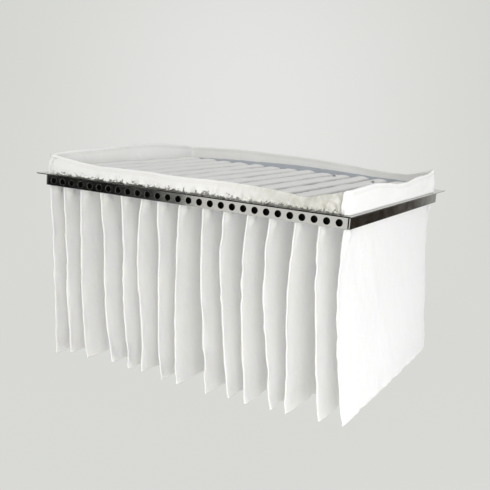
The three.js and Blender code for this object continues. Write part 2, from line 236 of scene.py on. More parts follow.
def gathered(tree, spot, base, crumple):
    """Painted shade in the crumpled foot of the front wall: dark streaks, dense at the flange and gone 24 mm
    up, and flecks of painted crease shade beside the corner seam."""
    low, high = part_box("collar")
    parts = add(tree, "SeparateXYZ", links={"Vector": spot})
    x, y, z = (parts.outputs[axis] for axis in "XYZ")
    streaks = add(tree, "TexNoise",
                  {"Scale": 85.0, "Detail": 4.0, "Roughness": 0.7, "Distortion": 1.5},
                  {"Vector": spot}).outputs["Fac"]
    needed = add(tree, "MapRange", spread(low.z + 1 * MM, low.z + 24 * MM, 0.44, 0.86), {"Value": z})
    above = add(tree, "Math", {"operation": "SUBTRACT"}, {0: streaks, 1: needed.outputs["Result"]})
    mask = add(tree, "MapRange", spread(0.0, 0.06, 0.0, 0.85), {"Value": above.outputs["Value"]})
    beside = add(tree, "MapRange", spread(high.x - 27 * MM, high.x - 19 * MM), {"Value": x})
    fleck = add(tree, "MapRange", spread(0.56, 0.68, 0.0, 0.55), {"Value": streaks})
    flecks = add(tree, "Math", {"operation": "MULTIPLY"},
                 {0: beside.outputs["Result"], 1: fleck.outputs["Result"]})
    either = add(tree, "Math", {"operation": "MAXIMUM"},
                 {0: mask.outputs["Result"], 1: flecks.outputs["Value"]})
    shares = [either.outputs["Value"]]
    for settings, source in ((spread(low.y + 6 * MM, low.y + 12 * MM, 1.0, 0.0), y),
                             (spread(low.x + 8 * MM, low.x + 24 * MM), x),
                             (spread(high.x - 20 * MM, high.x - 17.5 * MM, 1.0, 0.0), x)):
        shares.append(add(tree, "MapRange", settings, {"Value": source}).outputs["Result"])
    return stained(tree, base, crumple, shares)


def sewing_thread(name, colour):
    """Twisted polyester thread: a soft sheen broken by the twist, about 0.8 mm a turn."""
    material, tree = new_material(name)
    spot = add(tree, "TexCoord").outputs["Object"]
    twist = add(tree, "TexWave", {"Scale": 400.0, "Distortion": 1.0}, {"Vector": spot})
    bump = add(tree, "Bump", {"Strength": 0.4, "Distance": 0.2 * MM},
               {"Height": twist.outputs["Fac"]})
    shader = add(tree, "BsdfPrincipled",
                 {"Base Color": with_alpha(colour), "Roughness": 0.6, "Sheen Weight": 0.1},
                 {"Normal": bump.outputs["Normal"]})
    add(tree, "OutputMaterial", links={"Surface": shader.outputs["BSDF"]})
    return material


def polished_steel(name, colour, roughness, grain):
    """Stainless steel sheet: mirror-like, with a faint rolled grain along the strip and a slow
    waviness from pressing that bends what it reflects."""
    material, tree = new_material(name)
    spot = add(tree, "TexCoord").outputs["Object"]
    # Grain lines are 0.1 mm apart; drawn about 1 mm apart across the strip and 60 mm long.
    along = add(tree, "Mapping", {"Scale": (16.0, 16.0, 1 / MM)}, {"Vector": spot})
    lines = add(tree, "TexNoise", {"Scale": 1.0, "Detail": 3.0}, {"Vector": along.outputs["Vector"]})
    # The waviness and the smudges of handling are some 45 mm across.
    smudge = add(tree, "TexNoise", {"Scale": 22.0, "Detail": 3.0}, {"Vector": spot})
    gloss = add(tree, "MapRange", spread(0.3, 0.7, roughness * 0.75, roughness * 1.35),
                {"Value": smudge.outputs["Fac"]})
    fine = add(tree, "Bump", {"Strength": grain, "Distance": 0.05 * MM},
               {"Height": lines.outputs["Fac"]})
    wavy = add(tree, "Bump", {"Strength": 0.12, "Distance": 0.6 * MM},
               {"Height": smudge.outputs["Fac"], "Normal": fine.outputs["Normal"]})
    shader = add(tree, "BsdfPrincipled",
                 {"Base Color": with_alpha(colour), "Metallic": 1.0},
                 {"Roughness": gloss.outputs["Result"], "Normal": wavy.outputs["Normal"]})
    add(tree, "OutputMaterial", links={"Surface": shader.outputs["BSDF"]})
    return material


# ---------------------------------------------------------------- reading the CAD shapes

def triangles_of(name):
    """All triangles of a CAD node, as an array of n by 3 corners by 3 coordinates."""
    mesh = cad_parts[name].data
    mesh.calc_loop_triangles()
    points = np.array([v.co for v in mesh.vertices])
    return points[np.array([t.vertices for t in mesh.loop_triangles])]


def ray_tree(name):
    """A tree of a CAD node's faces, for finding its walls with rays."""
    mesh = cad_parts[name].data
    return BVHTree.FromPolygons([v.co for v in mesh.vertices], [p.vertices for p in mesh.polygons])


def cut(triangles, axis, place):
    """The segments in which the plane axis = place cuts the triangles."""
    height = triangles[:, :, axis] - place
    height = np.where(np.abs(height) < 1e-9, 1e-9, height)
    points, owners = [], []
    for a, b in ((0, 1), (1, 2), (2, 0)):
        crossing = height[:, a] * height[:, b] < 0
        share = (height[crossing, a] / (height[crossing, a] - height[crossing, b]))[:, None]
        points.append(triangles[crossing, a] * (1 - share) + triangles[crossing, b] * share)
        owners.append(np.flatnonzero(crossing))
    order = np.argsort(np.concatenate(owners), kind="stable")
    return np.concatenate(points)[order].reshape(-1, 2, 3)


def reach(segments, axis, place, across):
    """Least and greatest value of the coordinate across, where axis = place crosses them."""
    start = segments[:, 0, axis] - place
    end = segments[:, 1, axis] - place
    hit = start * end < 0
    if not hit.any():
        raise RuntimeError("a line that should cross a piece misses it")
    share = start[hit] / (start[hit] - end[hit])
    values = segments[hit, 0, across] * (1 - share) + segments[hit, 1, across] * share
    return values.min(), values.max()


def smoothed(grid, rounds):
    """A grid of heights, evened out by averaging each with its neighbours."""
    grid = grid.copy()
    for _ in range(rounds):
        padded = np.pad(grid, 1, mode="reflect", reflect_type="odd")
        even = (padded[:-2, 1:-1] + padded[2:, 1:-1] + padded[1:-1, :-2] + padded[1:-1, 2:]) / 4
        grid = 0.5 * grid + 0.5 * even
    return grid


def lay_out(total, ends, step):
    """Distances from 0 to total: close at both ends, as listed, and then a step apart."""
    room = total - 2 * ends[-1]
    spans = max(1, round(room / step))
    middle = [ends[-1] + room * i / spans for i in range(1, spans)]
    return list(ends) + middle + [total - e for e in reversed(ends)]


def rolling(x, y, z, scale):
    """Smooth noise from -1 to 1 that changes over the given length."""
    return noise.noise(Vector((x / scale, y / scale, z / scale)))


def bell(away, width):
    """A smooth hump: 1 at no distance, 0.37 a width away and next to nothing beyond two."""
    return math.exp(-(away / width) ** 2)


def held(value, least=0.0, most=1.0):
    """A value kept between its least and its most."""
    return min(most, max(least, value))


def closing(base, count, flip):
    """Faces that close a flat ring of points from one of its walls to the other."""
    quads = [(base + i, base + i + 1, base + count - 2 - i, base + count - 1 - i)
             for i in range(count // 2 - 1)]
    return [quad[::-1] for quad in quads] if flip else quads


def soft_folds(seed, count, length_range, width_range, area):
    """Folds that lie across a wall of cloth: place, direction, half length, width and height."""
    rng = random.Random(seed)
    made = []
    for _ in range(count):
        angle = rng.uniform(math.radians(25), math.radians(70)) * rng.choice((1, 1, -1))
        made.append((rng.uniform(0, area[0]), rng.uniform(0, area[1]), math.cos(angle), math.sin(angle),
                     rng.uniform(*length_range), rng.uniform(*width_range), rng.uniform(-1, 1)))
    return made


def fold_height(folds, a, b):
    """How high the folds stand at the place (a, b) of the wall."""
    total = 0.0
    for place_a, place_b, ca, cb, length, width, height in folds:
        along = (a - place_a) * ca + (b - place_b) * cb
        beside = -(a - place_a) * cb + (b - place_b) * ca
        total += height * math.exp(-(along / length) ** 2 - (beside / width) ** 2)
    return total


# ---------------------------------------------------------------- making pieces

def place_in_scene(name, data):
    """A new object with this data, in the scene."""
    thing = bpy.data.objects.new(name, data)
    bpy.context.scene.collection.objects.link(thing)
    return thing


def new_mesh(name, points, faces, material):
    """A smooth mesh in one material, in the scene."""
    mesh = bpy.data.meshes.new(name)
    mesh.from_pydata([tuple(p) for p in points], [], faces)
    mesh.update()
    mesh.shade_smooth()
    mesh.materials.append(material)
    return place_in_scene(name, mesh)


def new_piece(name, points, faces, material, node=None):
    """A mesh that rides on the frame and, where a node is named, stands for it."""
    piece = new_mesh(name, points, faces, material)
    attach(piece, "root")
    if node:
        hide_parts(node)
    return piece


def skin(rows, base=0, flip=False):
    """Faces between rings of points, numbered ring after ring from a base."""
    count = len(rows[0])
    faces = []
    for first in range(base, base + (len(rows) - 1) * count, count):
        for i in range(count):
            j = (i + 1) % count
            face = (first + i, first + j, first + count + j, first + count + i)
            faces.append(face[::-1] if flip else face)
    return faces


def stitch_row(points, outward, pitch, thread, verts, faces):
    """Adds a row of short raised stitches that follows the points, standing on the cloth."""
    lengths = [0.0]
    for a, b in zip(points, points[1:]):
        lengths.append(lengths[-1] + (b - a).length)
    at = 0.5 * pitch
    i = 0
    while at + 0.5 * pitch < lengths[-1]:
        while lengths[i + 1] < at:
            i += 1
        span = max(lengths[i + 1] - lengths[i], 1e-9)
        share = (at - lengths[i]) / span
        centre = points[i].lerp(points[i + 1], share)
        out = outward[i].lerp(outward[i + 1], share).normalized()
        along = (points[i + 1] - points[i]).normalized()
        side = along.cross(out).normalized() * (thread / 2)
        half = along * (0.36 * pitch)
        top = centre + out * (thread * 0.55)
        base = len(verts)
        low = out * (-thread * 0.3)
        verts.extend([centre - half + low, centre + half + low,
                      top - half * 0.62 + side, top + half * 0.62 + side,
                      top - half * 0.62 - side, top + half * 0.62 - side,
                      centre + side + low, centre - side + low])
        faces.extend([(base + 2, base + 3, base + 5, base + 4), (base, base + 6, base + 2),
                      (base + 6, base + 3, base + 2), (base + 6, base + 1, base + 3),
                      (base, base + 4, base + 7), (base + 7, base + 4, base + 5),
                      (base + 7, base + 5, base + 1), (base, base + 2, base + 4),
                      (base + 1, base + 5, base + 3), (base, base + 7, base + 6),
                      (base + 6, base + 7, base + 1)])
        at += pitch


class Finishes:
    """The materials, made once by the stage operator."""

    made = {}


# ---------------------------------------------------------------- the stage

# The camera as it was fitted to the rail's holes and the frame's corners
CAMERA_LENS = 59.01
CAMERA_PLACE = (0.8486, -2.0251, 0.2088)
CAMERA_RIGHT = (0.88216, 0.46520, 0.07331)
CAMERA_UP = (-0.15025, 0.13048, 0.98000)

# Each lamp: name, place, aim, size in metres, watts, colour and whether it casts a shadow.
# The last one stands for the light that comes through the thin cloth.
LAMPS = (
    ("key_softbox", (3.0, -0.9, 0.5), (0.3, -0.3, -0.2), (1.6, 1.6), 3.5, "#E6EFFF", True),
    ("front_softbox", (1.5, -3.3, -0.1), (0.0, -0.5, -0.2), (2.4, 1.2), 54.0, "#FFFEFB", True),
    ("through_fill", (1.45, -0.75, -0.30), (0.0, -0.35, -0.2), (1.2, 1.2), 7.0, "#FCFDFF", False),
)

# What the polished steel mirrors: name, centre, way it faces, size in metres and colour
CARDS = (
    ("front_panel", (-0.59, -3.0, -0.3), (0.1, 1, 0), (1.60, 3.0), "#F3F3F0"),
    ("dark_card_left", (-2.08, -3.07, -0.3), (0.6, 1, 0), (1.41, 4.0), "#080808"),
    ("dark_card_right", (1.50, 2.6, -0.3), (-0.4, -1, 0), (0.9, 2.4), "#2A221A"),
)

# Radius and depth of the round floor, the radius of its cove, and the height of its wall
FLOOR_RADIUS, FLOOR_LEVEL, COVE, WALL_TOP = 2.9, -1.1, 1.3, 3.6


def area_light(name, place, target, size, power, colour, shadow):
    data = bpy.data.lights.new(name, "AREA")
    data.shape = "RECTANGLE"
    data.size, data.size_y = size
    data.energy = power
    data.color = linear(colour)[:3]
    data.use_shadow = shadow
    lamp = place_in_scene(name, data)
    lamp.location = place
    lamp.rotation_euler = (Vector(target) - Vector(place)).to_track_quat("-Z", "Y").to_euler()
    lamp.visible_glossy = False


def reflection_card(name, centre, facing, size, colour):
    """A card that only shiny surfaces see, as a photographer stands beside polished steel."""
    material, tree = new_material(name + "_card")
    glow = add(tree, "Emission", {"Color": linear(colour), "Strength": 1.0})
    add(tree, "OutputMaterial", links={"Surface": glow.outputs["Emission"]})
    w, h = size[0] / 2, size[1] / 2
    card = new_mesh(name, [(-w, -h, 0), (w, -h, 0), (w, h, 0), (-w, h, 0)], [(0, 1, 2, 3)], material)
    card.location = centre
    card.rotation_euler = Vector(facing).to_track_quat("Z", "Y").to_euler()
    card.visible_camera = False
    card.visible_diffuse = False
    card.visible_shadow = False
    card.visible_transmission = False


def studio_paper(colour, glow_colour):
    """Matt seamless paper. The camera and shiny surfaces see it by its own painted light, and it keeps a soft
    share of the shadow that falls on it."""
    material, tree = new_material("studio_paper")
    path = add(tree, "LightPath")
    seen = add(tree, "Math", {"operation": "MAXIMUM"},
               {0: path.outputs["Is Camera Ray"], 1: path.outputs["Is Glossy Ray"]})
    matt = add(tree, "BsdfDiffuse", {"Color": with_alpha(colour)})
    # A painted pool of light: the paper is palest in a soft round patch behind the object, 2.1 m in radius.
    place = add(tree, "TexCoord")
    away = add(tree, "VectorMath", {"operation": "DISTANCE", 1: (-1.9, 3.4, 0.15)},
               {0: place.outputs["Object"]})
    fade = add(tree, "MapRange", spread(0.1, 2.1, interpolation_type="SMOOTHSTEP"),
               {"Value": away.outputs["Value"]})
    tone = add(tree, "Mix", {"data_type": "RGBA", 6: with_alpha(glow_colour), 7: with_alpha(colour)},
               {"Factor": fade.outputs["Result"]})
    glow = add(tree, "Emission", {"Strength": 1.0}, {"Color": tone.outputs[2]})
    share = add(tree, "Math", {"operation": "MULTIPLY", 1: 0.8}, {0: seen.outputs["Value"]})
    mix = add(tree, "MixShader",
              links={0: share.outputs["Value"], 1: matt.outputs["BSDF"], 2: glow.outputs["Emission"]})
    add(tree, "OutputMaterial", links={"Surface": mix.outputs["Shader"]})
    return material


class FILTER_OT_stage(bpy.types.Operator):
    """Make the camera, the lamps, the seamless floor and the materials"""

    bl_idname = "filter.stage"
    bl_label = "Studio and materials"

    def execute(self, context):
        scene = context.scene
        colours = scene.filter_colours
        camera = place_in_scene("camera", bpy.data.cameras.new("camera"))
        camera.data.sensor_width = 36.0
        camera.data.lens = CAMERA_LENS
        camera.data.clip_end = 50.0
        right, up = Vector(CAMERA_RIGHT), Vector(CAMERA_UP)
        turn = Matrix((right, up, right.cross(up))).transposed().to_4x4()
        camera.matrix_world = Matrix.Translation(CAMERA_PLACE) @ turn
        scene.camera = camera

        Finishes.made = {
            "felt": needle_felt("white_needle_felt", colours.felt),
            # The bands' felt carries painted shade in its slits and at its tucks
            "inner_felt": needle_felt("inner_needle_felt", colours.inner_felt, 1.4, 0.2, band_shade=colours.band_shade),
            # The collar's felt has painted shade by its corner seam and painted crumple shade along its front
            # foot
            "collar_felt": needle_felt("corner_shaded_needle_felt", colours.felt, 1.0, 0.3, corner_shade=colours.corner_shade,
                                       crumple=colours.crumple),
            # Painted shade for the foot of the back wall
            "back_foot_shade_felt": needle_felt("back_foot_shade_needle_felt", colours.back_foot_shade, 0.6, 0.2),
            "thread": sewing_thread("polyester_thread", colours.thread),
            "steel": polished_steel("polished_stainless_steel", colours.steel, 0.13, 0.25),
            "bar_steel": polished_steel("brushed_stainless_steel", colours.steel, 0.32, 0.6),
            # Painted shade inside the channels
            "channel_shade": polished_steel("channel_shade_steel", colours.channel_shade, 0.5, 0.6),
        }

        profile = [(0.0, FLOOR_LEVEL), (FLOOR_RADIUS, FLOOR_LEVEL)]
        profile += [(FLOOR_RADIUS + COVE * math.sin(a), FLOOR_LEVEL + COVE * (1 - math.cos(a)))
                    for a in (math.radians(5 * i) for i in range(1, 19))]
        profile += [(FLOOR_RADIUS + COVE, WALL_TOP)]
        sides = 96
        points = [(r * math.cos(2 * math.pi * i / sides), r * math.sin(2 * math.pi * i / sides) - 0.3, z)
                  for r, z in profile for i in range(sides)]
        floor = new_mesh("studio_floor", points, skin([[0] * sides] * len(profile)),
                         studio_paper(colours.floor, colours.backdrop))
        floor.visible_diffuse = False
        floor.visible_shadow = False

        for lamp in LAMPS:
            area_light(*lamp)
        for card in CARDS:
            reflection_card(*card)

        world = bpy.data.worlds.new("studio_light")
        scene.world = world
        world.use_nodes = True
        tree = world.node_tree
        tree.nodes.clear()
        place = add(tree, "TexCoord")
        parts = add(tree, "SeparateXYZ", links={"Vector": place.outputs["Generated"]})
        rise = add(tree, "MapRange", spread(-1.0, 1.0), {"Value": parts.outputs["Z"]})
        ramp = add(tree, "ValToRGB", links={"Fac": rise.outputs["Result"]})
        ramp.color_ramp.elements[0].color = linear("#6F6D63")
        ramp.color_ramp.elements[1].color = linear("#E2E2E2")
        back = add(tree, "Background", {"Strength": 1.0}, {"Color": ramp.outputs["Color"]})
        add(tree, "OutputWorld", links={"Surface": back.outputs["Background"]})

        scene.view_settings.view_transform = "Standard"
        return {"FINISHED"}


# ---------------------------------------------------------------- the steel frame

class FILTER_OT_frame(bpy.types.Operator):
    """Finish the sheet steel: the flange plate, the end bands, the bars and the rails"""

    bl_idname = "filter.frame"
    bl_label = "Steel frame"

    def execute(self, context):
        sizes = context.scene.filter_sizes
        steel = Finishes.made["steel"]
        for name in ["flange_plate", "left_end_band", "right_end_band", *SUPPORT_BARS]:
            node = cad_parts[name]
            node.data.materials.clear()
            node.data.materials.append(Finishes.made["bar_steel"] if name in SUPPORT_BARS else steel)
            node.modifiers.new("joined_corners", "WELD").merge_threshold = 0.01 * MM
            bevel = node.modifiers.new("deburred_edge", "BEVEL")
            bevel.width = sizes.edge
            bevel.segments = 2
            bevel.limit_method = "ANGLE"
            bevel.angle_limit = math.radians(30)
            bevel.use_clamp_overlap = True
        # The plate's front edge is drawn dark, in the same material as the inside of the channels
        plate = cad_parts["flange_plate"].data
        plate.materials.append(Finishes.made["channel_shade"])
        for polygon in plate.polygons:
            if polygon.normal.y < -0.9:
                polygon.material_index = 1
        for name, facing in (("front_rail", 1), ("back_rail", -1)):
            self.make_rail(name, facing, sizes, steel)
        return {"FINISHED"}

    def make_rail(self, name, facing, sizes, steel):
        """A channel of sheet steel whose outer wall has a row of round holes."""
        low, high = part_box(name)
        outer = low.y if facing > 0 else high.y
        tree = ray_tree(name)
        middle = (low.z + high.z) / 2
        holes = self.find_holes(tree, low, high, outer, facing, middle)
        sheet = self.sheet_of(tree, low, high, outer, facing)
        curve = bpy.data.curves.new(name + "_outline", "CURVE")
        curve.dimensions = "2D"
        curve.fill_mode = "BOTH"
        self.add_loop(curve, [(low.x, low.z), (high.x, low.z), (high.x, high.z), (low.x, high.z)])
        sides = sizes.hole_sides
        for x, radius in holes:
            turns = [2 * math.pi * i / sides for i in range(sides)]
            self.add_loop(curve, [(x + radius * math.cos(a), middle - radius * math.sin(a)) for a in turns])
        rounding = sizes.edge * 0.8
        curve.extrude = sheet / 2 - rounding
        curve.bevel_depth = rounding
        curve.bevel_resolution = 1
        curve.offset = -rounding
        holder = place_in_scene(name + "_outline", curve)
        bpy.context.view_layer.update()
        wall = bpy.data.meshes.new_from_object(holder)
        bpy.data.objects.remove(holder)
        points = [Vector((v.co.x, outer + facing * (sheet / 2 - v.co.z), v.co.y)) for v in wall.vertices]
        faces = [tuple(p.vertices) for p in wall.polygons]
        # The channel's floor and inner wall, as one bent sheet with a small radius at the bend
        inner = high.y if facing > 0 else low.y
        y0 = outer + facing * sheet
        y1 = inner - facing * sheet
        bend = 0.6 * MM
        section = [(y0, low.z), (inner - facing * bend, low.z), (inner, low.z + bend),
                   (inner, high.z), (y1, high.z), (y1, low.z + sheet), (y0, low.z + sheet)]
        base = len(points)
        outside = len(faces)
        for x in (low.x, high.x):
            points.extend(Vector((x, y, z)) for y, z in section)
        n = len(section)
        faces += skin([section] * 2, base)
        faces.append(tuple(base + i for i in range(n)))
        faces.append(tuple(base + n + i for i in reversed(range(n))))
        piece = new_piece(name + "_steel", points, faces, steel, name)
        piece.data.shade_flat()
        # The channel's floor and inner wall get the near-black steel that paints the shade inside the channel
        piece.data.materials.append(Finishes.made["channel_shade"])
        for polygon in piece.data.polygons[outside:]:
            polygon.material_index = 1
        piece.modifiers.new("joined_corners", "WELD").merge_threshold = 0.002 * MM

    def add_loop(self, curve, corners):
        spline = curve.splines.new("POLY")
        spline.points.add(len(corners) - 1)
        for point, (x, y) in zip(spline.points, corners):
            point.co = (x, y, 0, 1)
        spline.use_cyclic_u = True

    def find_holes(self, tree, low, high, outer, facing, middle):
        """Centre and radius of each hole, found by looking through the outer wall."""
        step = 0.25 * MM
        found, start = [], None
        for i in range(int((high.x - low.x) / step)):
            x = low.x + (i + 0.5) * step
            hit = tree.ray_cast(Vector((x, outer - facing * 0.01, middle)), Vector((0, facing, 0)))
            is_open = hit[0] is None or abs(hit[0].y - outer) > 1 * MM
            if is_open and start is None:
                start = x
            if not is_open and start is not None:
                found.append(((start + x - step) / 2, (x - start) / 2))
                start = None
        return found

    def sheet_of(self, tree, low, high, outer, facing):
        """Thickness of the outer wall, measured just under the channel's open top."""
        inside = (low.y + high.y) / 2
        hit = tree.ray_cast(Vector((0, inside, high.z - 1 * MM)), Vector((0, -facing, 0)))
        return abs(hit[0].y - outer)


# ---------------------------------------------------------------- the pockets

# The outer right-hand wall's own folds, read from the object: distance back from the front edge,
# distance down from the rail, direction, half length, half width and height
OUTER_WALL_FOLDS = [
    (0.33, 0.372, 0.80, 0.60, 26 * MM, 4.0 * MM, -1.1),
    (0.36, 0.358, 0.95, -0.31, 30 * MM, 4.5 * MM, 0.9),
    (0.05, 0.30, 0.05, 1.0, 90 * MM, 7 * MM, 0.8),
    (0.20, 0.13, 0.55, 0.83, 150 * MM, 16 * MM, 0.9),
    (0.42, 0.16, 0.42, 0.90, 160 * MM, 20 * MM, -0.9),
]
# Half the thickness of a sewn edge, and how far from it a pocket opens fully
FLAT_HALF, OPENING = 1.45 * MM, 52 * MM
# Where the thread of a flat seam runs, as a share of the seam's width
THREAD_LINE = 0.72


class FILTER_OT_pockets(bpy.types.Operator):
    """Sew the felt pockets: two walls, flat seams at the sides and the foot, an open mouth"""

    bl_idname = "filter.pockets"
    bl_label = "Felt pockets"

    def execute(self, context):
        sizes = context.scene.filter_sizes
        for k, name in enumerate(POCKETS):
            self.make_pocket(k, name, sizes)
        return {"FINISHED"}

    def make_pocket(self, k, name, sizes):
        low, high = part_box(name)
        triangles = triangles_of(name)
        last = k == len(POCKETS) - 1
        step = (9 if last else 14) * MM
        ends = [0.0, 1.0 * MM, 2.5 * MM, sizes.seam * THREAD_LINE, sizes.seam, sizes.seam + 3 * MM,
                sizes.seam + 8 * MM, sizes.seam + 16 * MM]
        # Rows from the mouth to the foot, close together at the neck and at the foot seam
        top = high.z - 0.2 * MM
        foot = low.z
        neck_rows = [top, top - 5 * MM, top - 12 * MM, RAIL_FOOT + 9 * MM, RAIL_FOOT + 3 * MM,
                     RAIL_FOOT - 0.5 * MM, RAIL_FOOT - 0.9 * MM]
        drops = lay_out(RAIL_FOOT - foot, [4.5 * MM, 8 * MM, 12 * MM, 17 * MM, 24 * MM], step)[:-5]
        foot_rows = [foot + d for d in reversed(ends)]
        rows = neck_rows + [RAIL_FOOT - d for d in drops if RAIL_FOOT - d > foot_rows[0] + 4 * MM] + foot_rows
        shares = None
        mids, halves, fronts, backs = [], [], [], []
        for z in rows:
            # The shoulders fill out right under the rail
            level = min(z, RAIL_FOOT - 5 * MM) if z < RAIL_FOOT - 0.7 * MM else z
            level = held(level, foot + 0.4 * MM, high.z - 0.3 * MM)
            segments = cut(triangles, 2, level)
            front, back = segments[:, :, 1].min(), segments[:, :, 1].max()
            if shares is None:
                full = lay_out(0.6, ends, step)
                shares = [(d, full[-1] - d) for d in full]
            ys = self.columns(shares, front, back)
            spans = [reach(segments, 1, held(y, front + 0.05 * MM, back - 0.05 * MM), 0) for y in ys]
            mids.append([(a + b) / 2 for a, b in spans])
            halves.append([(b - a) / 2 for a, b in spans])
            fronts.append(front)
            backs.append(back)
        mids = smoothed(np.array(mids), 14)
        halves = np.array(halves)
        fronts[0:3] = [fronts[1]] * 3
        backs[0:3] = [backs[1]] * 3
        folds = soft_folds(31 + k, 9, (30 * MM, 110 * MM), (7 * MM, 20 * MM), (0.6, 0.4))
        if last:
            folds += OUTER_WALL_FOLDS
        outer, inner = [], []
        for z, *wall in zip(rows, fronts, backs, mids, halves):
            outer.append(self.ring(k, z, foot, *wall, shares, folds, sizes, False))
            if z > foot + sizes.seam + 2 * MM:
                inner.append(self.ring(k, z, foot, *wall, shares, folds, sizes, True))
        count = len(outer[0])
        points = [p for row in outer + inner for p in row]
        faces = skin(outer)
        start = len(outer) * count
        faces += skin(inner, start, True)
        for i in range(count):
            j = (i + 1) % count
            faces.append((j, i, start + i, start + j))
        faces += closing(start - count, count, False)
        faces += closing(len(points) - count, count, True)
        piece = new_piece(name + "_felt", points, faces, Finishes.made["felt"], name)
        threads = self.sew(name, outer, shares, sizes)

    def carriers(self, k):
        """The bars beside pocket k, which hold its mouth up."""
        return [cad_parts[SUPPORT_BARS[i]] for i in (k - 1, k) if 0 <= i < len(SUPPORT_BARS)]

    def columns(self, shares, front, back):
        """Places across the pocket: true distances near its edges, evened between them."""
        total = back - front
        full = shares[0][1]
        return [front + (near if near <= 0.1 else total - far if far <= 0.1 else
                         0.1 + (near - 0.1) / (full - 0.2) * (total - 0.2)) for near, far in shares]

    def ring(self, k, z, foot, front, back, mids, halves, shares, folds, sizes, inside):
        """One row round the pocket: along its right wall to the back, and back along its left."""
        below = max(0.0, RAIL_FOOT - z)
        settle = min(1.0, below / (40 * MM))
        amount = sizes.fold * settle
        right, left = [], []
        for i, y in enumerate(self.columns(shares, front, back)):
            near = min(y - front, back - y)
            edge = min(near, z - foot if z < RAIL_FOOT else 1.0)
            # Flat at the sewn edges, open in the middle, and fullest right under the rail
            seam = (1 - held((edge - sizes.seam * 0.8) / OPENING)) ** 2
            swell = sizes.puff * bell(edge - 26 * MM, 22 * MM) * min(1.0, below / (6 * MM))
            bulge = 6.0 * MM * bell(below - 13 * MM, 11 * MM) * bell(near - 19 * MM, 9 * MM)
            half = FLAT_HALF * seam + (max(halves[i], FLAT_HALF) + swell) * (1 - seam) + bulge
            if edge < 0.8 * MM:
                half *= 0.7 + 0.3 * max(0.0, edge) / (0.8 * MM)
            wander = amount * (1.1 * rolling(y, z, 7.3 * k, 0.13) + 0.35 * rolling(y + 3, z, 5.1 * k, 0.045))
            waves = (0.8 * rolling(y, z, 11.7 * k, 0.046) + 0.8 * rolling(y, z, 7.1 * k + 9, 0.022)
                     + 0.5 * rolling(y, z, 3.7 * k + 5, 0.012))
            edge_wave = 2.9 * MM * settle * waves * math.exp(-edge / (16 * MM))
            fold = amount * 0.8 * fold_height(folds, y - front, RAIL_FOOT - z) * (1 - seam * 0.7)
            middle = mids[i] + wander + edge_wave + fold
            for wall, side, seed in ((right, 1, 40), (left, -1, 80)):
                ripple = 0.3 * MM * settle * rolling(y, z, 3.3 * k + seed, 0.028)
                wall.append((middle + side * half + ripple * (1 - seam), y, z))
        if inside:
            return self.hollow(right, left, front, back, sizes)
        return [Vector(p) for p in right] + [Vector(p) for p in reversed(left)]

    def hollow(self, right, left, front, back, sizes):
        """The same row inside the pocket: one layer of felt in from each wall."""
        rows = []
        squeeze = (back - front - 2 * sizes.seam) / (back - front)
        for walls, sign in ((right, -1), (left, 1)):
            row = []
            for (x, y, z), (other, _, _) in zip(walls, left if sign < 0 else right):
                middle = (x + other) / 2
                half = max(abs(x - other) / 2 - sizes.felt, 0.25 * MM)
                row.append(Vector((middle - sign * half, front + sizes.seam + (y - front) * squeeze, z)))
            rows.append(row)
        return rows[0] + rows[1][::-1]

    def sew(self, name, outer, shares, sizes):
        """The row of stitches along the pocket's side and foot seams, on both walls."""
        verts, faces = [], []
        half_count = len(outer[0]) // 2
        line = min(range(half_count), key=lambda i: abs(shares[i][0] - sizes.seam * THREAD_LINE))
        last = len(outer) - 1 - line
        for side in (1, -1):
            walls = [row[::side] for row in outer]
            # The side seams show from the sixth row down, just under the rail
            sides = [[wall[i] for wall in walls[6:last + 1]] for i in (line, half_count - 1 - line)]
            for path in (*sides, walls[last][line:half_count - line]):
                stitch_row(path, [Vector((side, 0, 0))] * len(path), sizes.stitch, sizes.thread, verts, faces)
        return new_piece(name + "_stitches", verts, faces, Finishes.made["thread"])


# ---------------------------------------------------------------- the mouth bands

# Where the bands have a small standing tuck near their rear ends
TUCKS = [(0.128, -0.150), (0.2345, -0.165)]


def tucked(x, y):
    """How far a tuck lifts the cloth at a place, and how much painted shade its open front gets."""
    crest = shade = 0.0
    for tuck_x, tuck_y in TUCKS:
        behind = y - tuck_y
        crest += 7 * MM * bell(x - tuck_x, 4.5 * MM) * bell(behind, (22 if behind > 0 else 4.5) * MM)
        shade += 1.8 * bell(behind + 4 * MM, 5 * MM) * bell(x - tuck_x + 1 * MM, 3.2 * MM)
    return crest, min(1.0, shade)


